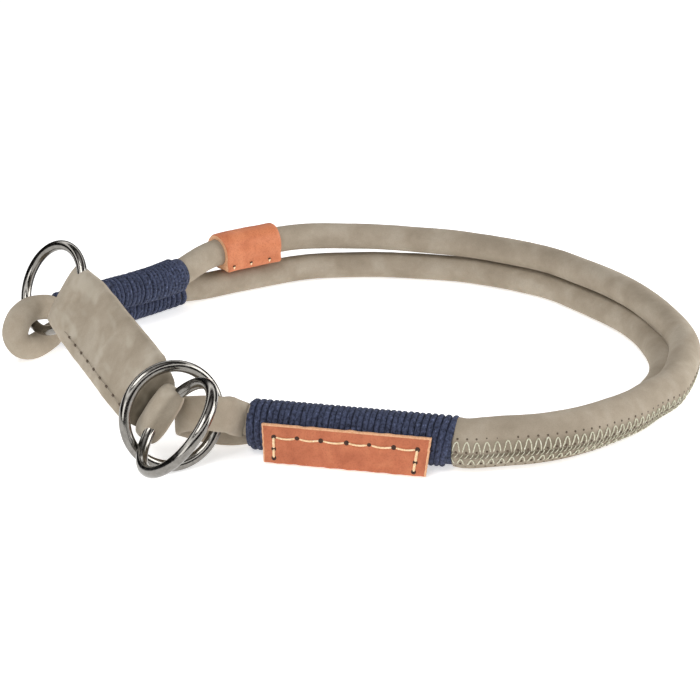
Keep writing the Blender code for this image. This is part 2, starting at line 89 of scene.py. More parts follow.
# x, y (shares of the loop), lift of the underside (share of the cord), band share
MAIN_CORD_ROUTE = (
    (-0.236, 0.391, 1.23, 0.0), (-0.174, 0.446, 1.3, 0.0), (-0.088, 0.507, 1.28, 0.0),
    (0.0, 0.528, 1.19, 0.0), (0.088, 0.525, 1.12, 0.0), (0.211, 0.488, 1.05, 0.0),
    (0.324, 0.401, 1.04, 0.0), (0.384, 0.313, 1.04, 0.0), (0.436, 0.213, 1.02, 0.0),
    (0.472, 0.12, 0.91, 0.02), (0.5, -0.004, 0.68, 0.1), (0.496, -0.088, 0.44, 0.25),
    (0.462, -0.2, 0.18, 0.45), (0.419, -0.263, 0.08, 0.58), (0.383, -0.315, 0.03, 0.7),
    (0.319, -0.378, 0.0, 0.84), (0.258, -0.418, 0.0, 0.95), (0.199, -0.434, 0.0, 1.0),
    (0.158, -0.441, 0.0, 0.97),
)
# x, y, thickness (share of the cord)
RETURN_CORD_ROUTE = (
    (-0.252, 0.384, 1.0), (-0.19, 0.433, 1.0), (-0.088, 0.507, 1.0), (0.0, 0.528, 1.0),
    (0.088, 0.525, 1.0), (0.211, 0.488, 1.0), (0.326, 0.401, 1.0), (0.384, 0.31, 1.0),
    (0.439, 0.195, 1.0), (0.465, 0.1, 1.0), (0.474, -0.02, 1.0), (0.461, -0.12, 0.98),
    (0.43, -0.195, 0.9), (0.396, -0.245, 0.72),
)
# x, y, lift, lean of the upper strand (degrees), strand
BACK_WHIPPING_ROUTE = (
    (-0.459, 0.105, 0.17, 0.0, 0.74), (-0.4, 0.18, 0.06, 22.0, 0.84),
    (-0.335, 0.262, 0.02, 37.0, 0.94), (-0.291, 0.322, 0.0, 36.0, 1.0),
)
# along, half
BACK_EYE_ROUTE = (
    (0.22, 0.8), (0.45, 0.97), (0.64, 1.0), (0.83, 0.82), (0.95, 0.45), (1.0, 0.0),
)
# along, front, rise
FRONT_EYE_ROUTE = (
    (-0.7, 0.55, 0.03), (-0.15, 0.52, 0.06), (0.0, 0.52, 0.17), (0.07, 0.56, 0.2),
    (0.16, 1.12, 0.37), (0.21, 1.88, 0.58), (0.28, 2.6, 0.7), (0.46, 3.08, 0.8), (0.69, 2.96, 0.72),
    (0.91, 2.44, 0.58), (1.01, 1.61, 0.36), (0.97, 0.8, 0.1), (0.74, 0.4, -0.1), (0.48, 0.2, -0.18),
    (0.24, 0.0, -0.2), (0.02, -0.42, -0.18), (-0.15, -0.55, -0.06), (-0.7, -0.55, -0.04),
)
# where, low, high, fold
STRAP_SECTIONS = (
    (-0.124, -0.555, 0.335, -1.3), (-0.114, -0.562, 0.35, -0.65), (-0.096, -0.562, 0.355, 0.1),
    (-0.072, -0.557, 0.36, 0.6), (-0.04, -0.558, 0.37, 0.95), (0.0, -0.56, 0.385, 1.0),
    (0.045, -0.57, 0.4, 0.8), (0.09, -0.58, 0.412, 0.35), (0.15, -0.585, 0.415, 0.06),
    (0.25, -0.585, 0.415, 0.0), (0.38, -0.583, 0.412, 0.0), (0.52, -0.58, 0.408, 0.0),
    (0.66, -0.575, 0.405, 0.0), (0.79, -0.56, 0.395, -0.1), (0.85, -0.53, 0.25, -0.45),
    (0.885, -0.5, 0.16, -0.3), (0.92, -0.485, 0.19, 0.55), (0.938, -0.49, 0.225, 1.0),
    (0.99, -0.48, 0.255, 1.05), (1.03, -0.465, 0.245, 0.8), (1.05, -0.445, 0.225, 0.15),
    (1.058, -0.42, 0.205, -0.65),
)
# along, aside, height (shares of the ring), yaw, pitch (degrees)
RINGS = {
    "back_ring": (0.2243, 0.2062, 0.772, -46.4, 26.1),
    "front_ring": (0.559, 0.5331, 0.497, 29.5, 12.2),
    "leash_ring": (0.3808, 0.9657, 0.601, -72.5, 42.8),
}
RING_RADIUS = (RING_OUTER_DIAMETER - RING_WIRE) / 2
SLEEVE_WALL = BORE_GAP + THREAD_WALL
SLEEVE_HALF_WIDTH = BAND_CORE_WIDTH / 2 + SLEEVE_WALL
SLEEVE_HALF_HEIGHT = BAND_CORE_HEIGHT / 2 + SLEEVE_WALL
UP = np.array([0.0, 0.0, 1.0])


def unit(vector):
    return vector / np.linalg.norm(vector)


def heading(angle):
    return np.array([math.cos(angle), math.sin(angle), 0.0])


def plane_point(x, y):
    """A point of the plane, or a row of points, from shares of the loop."""
    return np.stack([np.multiply(x, LOOP_WIDTH), np.multiply(y, LOOP_DEPTH),
                     np.multiply(x, 0.0)], axis=-1)


def front_whipping_frame():
    """Centre of the front whipping, its direction to the eye and to the front."""
    to_eye = -heading(FRONT_WHIPPING_ANGLE)
    centre = plane_point(*MAIN_CORD_ROUTE[-1][:2])
    centre = centre + to_eye * (FRONT_WHIPPING_MARGIN + FRONT_WHIPPING_LENGTH / 2)
    centre[2] = SLEEVE_HALF_HEIGHT
    return centre, to_eye, np.cross(UP, to_eye)


def ring_frame(name):
    """Raw centre, normal and in-plane directions of a ring."""
    along, aside, height, yaw, pitch = RINGS[name]
    if name == "back_ring":
        end = plane_point(*BACK_WHIPPING_ROUTE[0][:2])
        ahead = heading(BACK_EYE_HEADING)
    else:
        centre, ahead, _ = front_whipping_frame()
        end = centre + ahead * FRONT_WHIPPING_LENGTH / 2
    centre = end + (ahead * along + np.cross(UP, ahead) * aside) * RING_OUTER_DIAMETER
    centre[2] = height * RING_OUTER_DIAMETER
    yaw, pitch = math.radians(yaw), math.radians(pitch)
    normal = heading(yaw - math.pi / 2) * math.cos(pitch) + UP * math.sin(pitch)
    level = unit(np.cross(normal, UP))
    return centre, normal, level, unit(np.cross(level, normal))


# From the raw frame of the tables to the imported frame, read off a ring's box
SHIFT = np.mean([tuple(corner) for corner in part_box("back_ring")], axis=0)
SHIFT = SHIFT - ring_frame("back_ring")[0]


# Curves and sections

def smooth_line(points, spacing):
    """Catmull-Rom line through the points, and the row number of each station."""
    points = np.asarray(points, float)
    before = np.vstack([2 * points[0] - points[1], points, 2 * points[-1] - points[-2]])
    line, rows = [], []
    for i in range(len(points) - 1):
        p0, p1, p2, p3 = before[i:i + 4]
        steps = max(1, math.ceil(np.linalg.norm(p2 - p1) / spacing))
        for t in np.arange(steps) / steps:
            bend = (2 * p0 - 5 * p1 + 4 * p2 - p3) * t * t + (3 * p1 - 3 * p2 + p3 - p0) * t ** 3
            line.append(0.5 * (2 * p1 + (p2 - p0) * t + bend))
            rows.append(i + t)
    line.append(points[-1])
    rows.append(len(points) - 1.0)
    return np.array(line), np.array(rows)


def column(values, rows):
    """A column read smoothly at fractional rows."""
    values = np.asarray(values, float)
    places = np.arange(len(values))
    slopes = np.gradient(values)
    base = np.clip(np.floor(rows).astype(int), 0, len(values) - 2)
    t = rows - places[base]
    v0, v1, m0, m1 = values[base], values[base + 1], slopes[base], slopes[base + 1]
    curve = (v0 * (2 * t ** 3 - 3 * t ** 2 + 1) + m0 * (t ** 3 - 2 * t ** 2 + t)
             + v1 * (3 * t ** 2 - 2 * t ** 3) + m1 * (t ** 3 - t ** 2))
    low, high = np.minimum(v0, v1), np.maximum(v0, v1)
    return np.clip(curve, low, high)


def arc_lengths(line):
    return np.concatenate([[0.0], np.cumsum(np.linalg.norm(np.diff(line, axis=0), axis=1))])


def read_row(place, places, rows):
    """A row read between the rows that belong to the places."""
    return np.array([np.interp(place, places, values) for values in rows.T])


def axes_along(line, side=None):
    """Across (to the loop's inside) and up at each station."""
    across, up = [], []
    for tangent in np.gradient(line, axis=0):
        across.append(unit(np.cross(tangent, UP)) if side is None else side)
        up.append(unit(np.cross(across[-1], tangent)))
    return np.array(across), np.array(up)


def oval_angles(sides):
    return 2 * math.pi * (np.arange(sides) + 0.5) / sides - math.pi / 2


def oval(sides, power=2.0):
    angles = oval_angles(sides)
    corners = np.stack([np.cos(angles), np.sin(angles)], axis=1)
    return np.sign(corners) * np.abs(corners) ** (2.0 / power)


def ovals(sides, widths, heights, power=2.0):
    """An oval outline for each station."""
    return oval(sides, power) * np.stack([widths, heights], axis=1)[:, None] / 2


def loops_along(line, outlines, side=None):
    """The outlines, each set across the line at its station."""
    axes = np.stack(axes_along(line, side), axis=1)
    return np.array([place + outline @ pair for place, outline, pair in zip(line, outlines, axes)])


def wave(*place):
    return noise.noise(Vector(place))


def field(points, scale, seed=0.0):
    """Smooth noise from -1 to 1 at the points; scale is in features per metre."""
    shift = (seed, 3.1 * seed, 7.7)
    values = [wave(*place) for place in points.reshape(-1, 3) * scale + shift]
    return np.array(values).reshape(points.shape[:-1])


def bell(value, middle, width):
    return np.exp(-((value - middle) / width) ** 2)


def step(value, middle, width):
    """From 0 below the middle to 1 above it."""
    return 1.0 / (1.0 + np.exp((middle - value) / width))


def swell(loops, amount):
    """Move each loop's points away from the loop's middle by the given lengths."""
    middle = loops.mean(axis=1, keepdims=True)
    outward = loops - middle
    outward /= np.linalg.norm(outward, axis=2, keepdims=True)
    return loops + outward * amount[..., None]


def around(side, over, count):
    """Points of a unit circle in the plane of two directions."""
    angles = 2 * math.pi * np.arange(count) / count
    return np.outer(np.cos(angles), side) + np.outer(np.sin(angles), over)


def tube(path, radii, sides, normals):
    """Loops of a round thread that lies on a surface with these normals."""
    path = np.asarray(path)
    radii = np.broadcast_to(radii, len(path))
    loops = []
    for place, tangent, radius, normal in zip(path, np.gradient(path, axis=0), radii, normals):
        side = unit(np.cross(tangent, normal))
        loops.append(place + radius * around(side, np.cross(side, unit(tangent)), sides))
    return np.array(loops)


def quads(rows, columns, start=0, flip=False, closed_rows=False, closed_columns=True):
    """Faces of a grid of vertices, which may close on itself either way."""
    faces = []
    for i in range(rows if closed_rows else rows - 1):
        for k in range(columns if closed_columns else columns - 1):
            j, m = (i + 1) % rows, (k + 1) % columns
            a, b = start + i * columns + k, start + j * columns + k
            c, d = start + j * columns + m, start + i * columns + m
            faces.append((a, d, c, b) if flip else (a, b, c, d))
    return faces


def add_object(name, data):
    made = bpy.data.objects.new(name, data)
    bpy.context.scene.collection.objects.link(made)
    return made


def add_mesh(name, vertices, faces, material, slot, *nodes):
    """A piece on the root body that stands for the nodes, which it hides; the slot is not used."""
    mesh = bpy.data.meshes.new(name)
    mesh.from_pydata([tuple(v) for v in np.asarray(vertices) + SHIFT], [], faces)
    mesh.materials.append(material)
    mesh.shade_smooth()
    piece = add_object(name, mesh)
    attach(piece, "root")
    if nodes:
        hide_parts(*nodes)
    return piece


def add_bodies(name, bodies, material, slot, *nodes):
    """One object of closed bodies, each a skin over its loops."""
    vertices, faces = [], []
    for loops in bodies:
        start = len(vertices)
        count, sides = loops.shape[:2]
        vertices.extend(loops.reshape(-1, 3))
        faces += quads(count, sides, start)
        last = start + (count - 1) * sides
        faces.append(tuple(range(start, start + sides)))
        faces.append(tuple(reversed(range(last, last + sides))))
    return add_mesh(name, vertices, faces, material, slot, *nodes)


def paint_shade(piece, shade):
    """Store one painted shade for each vertex, which the suede's colour is multiplied by."""
    shade = np.asarray(shade).reshape(-1, 1)
    tint = np.concatenate([shade, shade ** 1.03, shade ** 1.1, np.ones_like(shade)], axis=1)
    layer = piece.data.color_attributes.new("painted_shade", "FLOAT_COLOR", "POINT")
    layer.data.foreach_set("color", tint.astype(np.float32).ravel())


def press_clear(loops, ring, clearance=0.00012):
    """Dent the loops where a ring's wire presses into them."""
    centre, normal, _, _ = ring_frame(ring)
    flat = loops - centre
    flat = flat - (flat @ normal)[..., None] * normal
    wire = centre + flat / np.linalg.norm(flat, axis=2, keepdims=True) * RING_RADIUS
    offset, toward = loops - wire, loops.mean(axis=1, keepdims=True) - wire
    toward /= np.linalg.norm(toward, axis=2, keepdims=True)
    b = (offset * toward).sum(axis=2)
    c = (offset ** 2).sum(axis=2) - (RING_WIRE / 2 + clearance) ** 2
    push = np.where(c < 0, np.sqrt(np.maximum(b * b - c, 0.0)) - b, 0.0)
    return loops + push[..., None] * toward


# Materials

WHITE = (1.0, 1.0, 1.0)


class Tree:
    """Short way to add nodes to a node tree."""

    def __init__(self, tree):
        self.tree = tree

    def add(self, kind, **settings):
        node = self.tree.nodes.new(kind)
        for key, value in settings.items():
            setattr(node, key, value)
        return node

    def link(self, source, target):
        self.tree.links.new(source, target)

    def ramp(self, source, stops):
        """A colour ramp with stops of a place and a colour, or a grey value."""
        node = self.add("ShaderNodeValToRGB")
        elements = node.color_ramp.elements
        while len(elements) < len(stops):
            elements.new(0.5)
        for element, (place, colour) in zip(elements, stops):
            element.position = place
            element.color = (*np.broadcast_to(colour, 3), 1.0)
        self.link(source, node.inputs["Fac"])
        return node.outputs["Color"]

    def mix(self, share, first, second, blend="MIX"):
        node = self.add("ShaderNodeMix", data_type="RGBA", blend_type=blend)
        if isinstance(share, float):
            node.inputs["Factor"].default_value = share
        else:
            self.link(share, node.inputs["Factor"])
        for socket, value in ((node.inputs[6], first), (node.inputs[7], second)):
            if isinstance(value, tuple):
                socket.default_value = (*value, 1.0)
            else:
                self.link(value, socket)
        return node.outputs[2]


class Nodes(Tree):
    """A material's node tree round its shader, whose sockets are named with _ for each space."""

    def __init__(self, name, **inputs):
        self.material = bpy.data.materials.new(name)
        self.material.use_nodes = True
        super().__init__(self.material.node_tree)
        self.shader = self.tree.nodes["Principled BSDF"]
        self.place = self.add("ShaderNodeTexCoord").outputs["Object"]
        for key, value in inputs.items():
            self.shader.inputs[key.replace("_", " ")].default_value = value

    def noise(self, scale, detail=3.0, roughness=0.55, distortion=0.0, stretch=None):
        node = self.add("ShaderNodeTexNoise")
        values = {"Scale": scale, "Detail": detail, "Roughness": roughness,
                  "Distortion": distortion}
        for name, value in values.items():
            node.inputs[name].default_value = value
        self.link(self.stretched(*stretch) if stretch else self.place, node.inputs["Vector"])
        return node.outputs["Fac"]

    def stretched(self, rotation, scale):
        mapping = self.add("ShaderNodeMapping")
        mapping.inputs["Rotation"].default_value = rotation
        mapping.inputs["Scale"].default_value = scale
        self.link(self.place, mapping.inputs["Vector"])
        return mapping.outputs["Vector"]

    def near(self, place, inner, outer):
        """1 within the inner distance of a place of the raw frame, 0 beyond the outer one."""
        apart = self.add("ShaderNodeVectorMath", operation="DISTANCE")
        apart.inputs[1].default_value = tuple(np.asarray(place) + SHIFT)
        self.link(self.place, apart.inputs[0])
        fade = self.add("ShaderNodeMapRange", interpolation_type="SMOOTHSTEP")
        for socket, value in zip(fade.inputs[1:5], (inner, outer, 1.0, 0.0)):
            socket.default_value = value
        self.link(apart.outputs["Value"], fade.inputs[0])
        return fade.outputs[0]

    def bump(self, height, strength, distance, normal=None):
        node = self.add("ShaderNodeBump")
        node.inputs["Strength"].default_value = strength
        node.inputs["Distance"].default_value = distance
        self.link(height, node.inputs["Height"])
        if normal is not None:
            self.link(normal, node.inputs["Normal"])
        return node.outputs["Normal"]

    def finished(self, colour, normal):
        """The material, once its colour and its bumps are linked."""
        self.link(colour, self.shader.inputs["Base Color"])
        self.link(normal, self.shader.inputs["Normal"])
        return self.material


def srgb(*values):
    shares = np.array(values) / 255
    return tuple(np.where(shares <= 0.04045, shares / 12.92, ((shares + 0.055) / 1.055) ** 2.4))


STAIN = (0.82, 0.7, 0.55)
STAIN_PLACE = (0.171, -0.505)
STAIN_HEIGHT = 0.0052
STAIN_CORE = 0.0002
STAIN_REACH = 0.0034
WRINKLE_STRETCH = ((0.0, math.radians(40.0), math.radians(-35.0)), (1.0, 0.3, 1.0))


def make_suede(name, stain=None, wrinkles=0.0, with_painted_shade=False):
    """Napped suede: broad shading of the nap, short fibres and a soft sheen."""
    nodes = Nodes(name, Roughness=0.95, Specular_IOR_Level=0.12, Sheen_Weight=0.22,
                  Sheen_Roughness=0.5, Sheen_Tint=(*srgb(205, 198, 184), 1.0))
    broad = nodes.noise(95.0, 3.0, 0.5, 0.4)
    patches = nodes.ramp(broad, [(0.34, srgb(157, 145, 128)), (0.5, srgb(167, 155, 138)),
                                 (0.66, srgb(177, 166, 150))])
    streaks = nodes.noise(480.0, 3.0, 0.6, 0.3)
    speckle = nodes.ramp(streaks, [(0.35, (0.9, 0.9, 0.89)), (0.65, WHITE)])
    fibre = nodes.noise(3400.0, 2.0, 0.7)
    flecks = nodes.ramp(fibre, [(0.3, (0.86, 0.85, 0.84)), (0.7, WHITE)])
    colour = nodes.mix(0.7, patches, speckle, "MULTIPLY")
    colour = nodes.mix(0.8, colour, flecks, "MULTIPLY")
    if wrinkles:
        folds = nodes.noise(150.0, 2.0, 0.5, 0.25, WRINKLE_STRETCH)
        pale = nodes.ramp(folds, [(0.52, 0.0), (0.66, wrinkles)])
        colour = nodes.mix(pale, colour, srgb(192, 184, 169))
    # Painted shade: the colour is multiplied by the per-vertex painted shade layer.
    if with_painted_shade:
        painted_shade = nodes.add("ShaderNodeAttribute", attribute_name="painted_shade").outputs["Color"]
        colour = nodes.mix(1.0, colour, painted_shade, "MULTIPLY")
    if stain is not None:
        colour = nodes.mix(nodes.near(stain, STAIN_CORE, STAIN_REACH), colour, STAIN, "MULTIPLY")
    soft = nodes.bump(broad, 0.15, 0.0006)
    rough = nodes.bump(streaks, 0.3, 0.0002, soft)
    return nodes.finished(colour, nodes.bump(fibre, 0.5, 0.0001, rough))


def make_thread(name, dark, light, scale=2500.0, roughness=0.8):
    """Waxed thread: flecks and fine strands along it."""
    nodes = Nodes(name, Roughness=roughness, Specular_IOR_Level=0.2, Sheen_Weight=0.05,
                  Sheen_Roughness=0.5)
    flecks = nodes.noise(scale, 3.0, 0.65)
    dark, light = srgb(*dark), srgb(*light)
    lint = tuple(min(1.0, 2.4 * c + 0.03) for c in light)
    colour = nodes.ramp(flecks, [(0.34, dark), (0.56, light), (0.63, light), (0.72, lint)])
    return nodes.finished(colour, nodes.bump(flecks, 0.6, 0.00018))


def make_label_leather(name, *colours):
    """Vegetable-tanned leather: fine pores, soft clouding, satin finish."""
    nodes = Nodes(name, Roughness=0.52, Specular_IOR_Level=0.4)
    clouds = nodes.noise(160.0, 4.0, 0.6, 0.4)
    base = nodes.ramp(clouds, list(zip((0.3, 0.52, 0.74), (srgb(*c) for c in colours))))
    pores = nodes.noise(2600.0, 2.0, 0.6)
    specks = nodes.ramp(pores, [(0.33, (0.8, 0.76, 0.72)), (0.52, WHITE)])
    grain = nodes.bump(clouds, 0.3, 0.0005)
    return nodes.finished(nodes.mix(0.75, base, specks, "MULTIPLY"),
                          nodes.bump(pores, 0.35, 0.00012, grain))


def make_plain_leather(name, dark, light):
    """Fibrous leather, as at a cut edge; in dark tones it is the painted shade of a needle hole."""
    nodes = Nodes(name, Roughness=0.85)
    fibres = nodes.noise(1800.0, 3.0, 0.7)
    colour = nodes.ramp(fibres, [(0.3, srgb(*dark)), (0.7, srgb(*light))])
    return nodes.finished(colour, nodes.bump(fibres, 0.5, 0.00015))


def make_ring_metal(name):
    """Polished dark nickel with faint handling marks."""
    nodes = Nodes(name, Roughness=0.14, Metallic=1.0)
    marks = nodes.noise(900.0, 3.0, 0.6, 0.8)
    colour = nodes.ramp(marks, [(0.3, srgb(118, 115, 110)), (0.7, srgb(140, 137, 132))])
    rough = nodes.ramp(marks, [(0.35, 0.13), (0.75, 0.24)])
    nodes.link(rough, nodes.shader.inputs["Roughness"])
    return nodes.finished(colour, nodes.bump(marks, 0.05, 0.0001))


NAVY = make_thread("navy_thread", (27, 31, 46), (65, 72, 97), 1500.0)
SEAM_THREAD = make_thread("seam_thread", (160, 157, 134), (212, 209, 188))
CREAM = make_thread("label_thread", (222, 178, 128), (250, 222, 180), roughness=0.6)
STRAP_THREAD = make_thread("strap_thread", (146, 135, 118), (166, 155, 138))
FRONT_LABEL = make_label_leather("front_label_leather", (168, 90, 56), (187, 106, 70),
                                 (200, 122, 82))
BACK_LABEL = make_label_leather("back_label_leather", (184, 103, 66), (203, 122, 82),
                                (214, 136, 95))
CUT_EDGE = make_plain_leather("label_cut_edge", (205, 146, 104), (236, 186, 146))
# Dark tones that paint the shade in needle holes.
HOLE_SHADE = make_plain_leather("stitch_hole_shade", (44, 26, 18), (70, 44, 30))
SUEDE_HOLE_SHADE = make_plain_leather("suede_hole_shade", (72, 60, 48), (100, 86, 70))
METAL = make_ring_metal("ring_metal")


# The loop's routes

def back_whipping_line(spacing):
    x, y, lift, lean, strand = np.array(BACK_WHIPPING_ROUTE).T
    lean = np.radians(lean)
    strand = strand * CORD_DIAMETER
    half = strand / 2 + GAP / 2
    clearance = lift * CORD_DIAMETER + SLEEVE_WALL
    points = plane_point(x, y)
    points[:, 2] = clearance + strand / 2 + half * np.cos(lean)
    line, rows = smooth_line(points, spacing)
    return line, column(lean, rows), column(strand, rows)


def strand_line(which):
    """Centre line of the upper (1) or lower (-1) cord in the back whipping."""
    across, up = axes_along(WHIP_LINE)
    toward = across * np.sin(WHIP_LEAN)[:, None] + up * np.cos(WHIP_LEAN)[:, None]
    return WHIP_LINE + which * (WHIP_STRAND / 2 + GAP / 2)[:, None] * toward


WHIP_LINE, WHIP_LEAN, WHIP_STRAND = back_whipping_line(0.0048)
# The whipping's stations from its eye to where the cords butt against the eye's legs
EYE_ROWS = round(0.45 * (len(WHIP_LINE) - 1))


def main_cord_stations(spacing):
    start = strand_line(1)[EYE_ROWS + 1:]
    start_size = WHIP_STRAND[EYE_ROWS + 1:]
    x, y, lift, band = np.array(MAIN_CORD_ROUTE).T
    height = CORD_DIAMETER + band * (BAND_HEIGHT - CORD_DIAMETER)
    width = CORD_DIAMETER + band * (BAND_WIDTH - CORD_DIAMETER)
    places = plane_point(x, y)
    places[:, 2] = lift * CORD_DIAMETER + height / 2
    centre, to_eye, _ = front_whipping_frame()
    half = FRONT_WHIPPING_LENGTH / 2
    inside = np.array([centre - to_eye * s for s in (half + GAP, half - 0.002, half / 2, 0.0)])
    points = np.vstack([start, places, inside])
    line, rows = smooth_line(points, spacing)
    tail = np.array([0.985, 0.8, 0.8, 0.8])
    heights = column(np.concatenate([start_size, height, BAND_HEIGHT * tail]), rows)
    widths = column(np.concatenate([start_size, width, BAND_WIDTH * tail]), rows)
    bands = column(np.concatenate([0 * start_size, band, [1.0] * 4]), rows)
    return line, heights, widths, bands


# Cords and band

SUEDE = make_suede("plain_suede")
SEAM_ANGLE = math.radians(193.0)
SEAM_PITCH = 0.0025
SEAM_START = 0.14
ARCH_RADIUS = 0.00016
LINK_RADIUS = 0.00011
SEAM_TURN_PLACES = (0.017, 0.027, 0.038, 0.051, 0.062, 0.09)
SEAM_TURN = (0.0, 4.0, 9.0, 15.0, 19.0, 22.0)


def band_left(line):
    """Distance of each station from the front whipping's mouth, along the band."""
    centre, to_eye, _ = front_whipping_frame()
    mouth = centre - to_eye * FRONT_WHIPPING_LENGTH / 2
    lengths = arc_lengths(line)
    return lengths[np.argmin(np.linalg.norm(line - mouth, axis=1))] - lengths


def seam_angle(left):
    """The seam turns towards the underside as the band bends away."""
    return SEAM_ANGLE + np.radians(np.interp(left, SEAM_TURN_PLACES, SEAM_TURN))


def make_upper_cord():
    line, heights, widths, bands = main_cord_stations(0.0009)
    leather = make_suede("suede", plane_point(*STAIN_PLACE) + UP * STAIN_HEIGHT, with_painted_shade=True)
    turned = seam_angle(band_left(line))
    away = np.degrees(np.angle(np.exp(1j * (oval_angles(60) - turned[:, None]))))
    groove = bell(away, 0.0, 5.0)
    rows_of_thread = bell(away, -17.0, 9.0) + bell(away, 20.0, 8.0)
    loops = loops_along(line, ovals(60, widths, heights))
    depth = np.clip(bands * 2.2, 0, 1)[:, None]
    change = depth * (-0.00048 * groove - 0.00014 * rows_of_thread)
    change = change + 0.0001 * field(loops, 85.0) + 0.00004 * field(loops, 330.0, 2.0)
    loops = swell(loops, change)
    # Painted shade: darker in the seam's groove and over the band's lower outer side round the seam.
    strip = step(away, -36.0, 2.5) * step(-away, -60.0, 8.0)
    shade = 1.0 - depth * (0.2 * strip + 0.35 * groove)
    cord = add_bodies("upper_cord_and_band", [loops], leather, "suede", "main_cord")
    paint_shade(cord, shade)


def make_lower_cord():
    start = strand_line(-1)[EYE_ROWS + 1:]
    x, y, thickness = np.array(RETURN_CORD_ROUTE).T
    thickness = thickness * CORD_DIAMETER
    places = plane_point(x, y)
    places[:, 2] = thickness / 2
    line, rows = smooth_line(np.vstack([start, places]), 0.0011)
    sizes = column(np.concatenate([WHIP_STRAND[EYE_ROWS + 1:], thickness]), rows)
    loops = loops_along(line, ovals(44, sizes, sizes))
    loops = swell(loops, 0.0001 * field(loops, 85.0, 5.0) + 0.00004 * field(loops, 330.0, 6.0))
    add_bodies("lower_cord", [loops], SUEDE, "suede", "return_cord")


def band_surface(line, heights, widths):
    """Point and normal at a distance along the band and an angle of its section."""
    lengths = arc_lengths(line)
    across, up = axes_along(line)

    def at(distance, angle, lift=0.0):
        side, rise = (read_row(distance, lengths, rows) for rows in (across, up))
        half_width = np.interp(distance, lengths, widths) / 2
        half_height = np.interp(distance, lengths, heights) / 2
        normal = unit(side * math.cos(angle) / half_width + rise * math.sin(angle) / half_height)
        point = read_row(distance, lengths, line) + side * half_width * math.cos(angle)
        return point + rise * half_height * math.sin(angle) + normal * lift, normal
    return at, lengths


def thread_on(points, radius, sides):
    """A thread through the (point, normal) pairs of a surface."""
    path, normals = zip(*points)
    return tube(path, radius, sides, normals)


def arch(at, middle, half_width, foot, crown, lift):
    """One stitch over the seam's lip, as an arch with its feet in the leather."""
    points = []
    for u in np.linspace(-1.0, 1.0, 15):
        climb = 1.0 - abs(u) ** 2.2
        sunk = max(0.0, abs(u) - 0.75) * 0.0022
        points.append(at(middle + u * half_width, foot + (crown - foot) * climb, lift - sunk))
    return thread_on(points, ARCH_RADIUS, 7)


def make_band_seam():
    """Zigzag thread on both lips of the band's butt seam, with painted shade at its needle holes."""
    line, heights, widths, bands = main_cord_stations(0.0012)
    at, lengths = band_surface(line, heights, widths)
    left = band_left(line)
    angles = seam_angle(left)
    curve = np.array([at(d, angle)[0] for d, angle in zip(lengths, angles)])
    along_seam = arc_lengths(curve)
    open_rows = np.argmax(bands > 0.999)
    first = np.interp(SEAM_START, bands[:open_rows], along_seam[:open_rows])
    last = np.interp(0.0, -left, along_seam)

    def on_seam(place, degrees, lift=0.0):
        turn = np.interp(place, along_seam, angles) + math.radians(degrees)
        return at(np.interp(place, along_seam, lengths), turn, lift)

    threads, links, hole_shades = [], [], []
    for i in range(int((last - first) / SEAM_PITCH)):
        middle = last - (i + 0.35) * SEAM_PITCH
        share = min(1.0, 0.45 + np.interp(middle, along_seam[:open_rows], bands[:open_rows]))
        jitter = [wave(i * 0.9, k * 5.3, 0.4) for k in range(6)]

        for row, (foot, crown, width) in enumerate(((-3.0, -33.0, 0.4), (33.0, 8.0, 0.38))):
            crown += 3.0 * jitter[row]
            place = middle + SEAM_PITCH * (0.5 * row + 0.07 * jitter[row + 2])
            threads.append(arch(on_seam, place, SEAM_PITCH * width, foot * share, crown * share,
                                0.0001))
        for edge in (0.45, 0.95):
            points = [on_seam(middle + SEAM_PITCH * (edge + 0.16 * t), (1.0 + 6.0 * t) * share,
                              -0.00002 - 0.0002 * t * t) for t in np.linspace(-1.0, 1.0, 7)]
            links.append(thread_on(points, LINK_RADIUS, 6))
        for offset, move, size in ((-41.0, 0.0, 0.00028), (-10.0, 0.0, 0.0003),
                                   (24.0, 0.5, 0.00028), (37.0, 0.0, 0.00024)):
            point, normal = on_seam(middle + SEAM_PITCH * move,
                                    (offset + 2 * jitter[4]) * share)
            hole_shades.append(dimple(point, normal, size * (1 + 0.2 * jitter[5])))
    add_bodies("band_seam_thread", threads + links, SEAM_THREAD, "suede")
    add_bodies("band_seam_hole_shades", hole_shades, SUEDE_HOLE_SHADE, "suede")


def dimple(point, normal, radius):
    """Painted shade of a small pit at a needle hole, as a flat dome that stands a hair proud."""
    side = unit(np.cross(normal, (0.31, 0.22, 0.93)))
    circle = around(side, np.cross(normal, side), 10) * radius
    return np.array([point - normal * radius * 0.5 + circle, point + normal * 0.00003 + circle,
                     point + normal * 0.00007 + circle * 0.5])


# Eyes

def make_back_eye():
    upper_leg, lower_leg = (strand_line(side)[:EYE_ROWS + 1] for side in (1, -1))
    end = WHIP_LINE[0]
    ahead = heading(BACK_EYE_HEADING)

    along, half = np.array(BACK_EYE_ROUTE).T
    climb = (BACK_EYE_HEIGHT / 2 - end[2]) * np.minimum(1.0, along / BACK_EYE_MIDDLE)
    middle = end + np.outer(along * BACK_EYE_REACH, ahead) + np.outer(climb, UP)
    rise = np.outer(half * (BACK_EYE_HEIGHT - BACK_EYE_CORD) / 2, UP)
    points = np.vstack([upper_leg[::-1], middle + rise, (middle - rise)[-2::-1], lower_leg])
    line, rows = smooth_line(points, 0.0009)
    leg_sizes = WHIP_STRAND[:EYE_ROWS + 1] - GAP
    turns = 2 * len(along) - 1
    heights, widths = (column(np.concatenate([leg_sizes[::-1], [size] * turns, leg_sizes]), rows)
                       for size in (BACK_EYE_CORD, BACK_EYE_WIDTH))
    loops = loops_along(line, ovals(44, widths, heights), side=np.cross(ahead, UP))
    loops = swell(loops, 0.00008 * field(loops, 120.0, 8.0))
    loops = press_clear(loops, "back_ring")
    add_bodies("back_eye_loop", [loops], SUEDE, "suede", "back_eye")


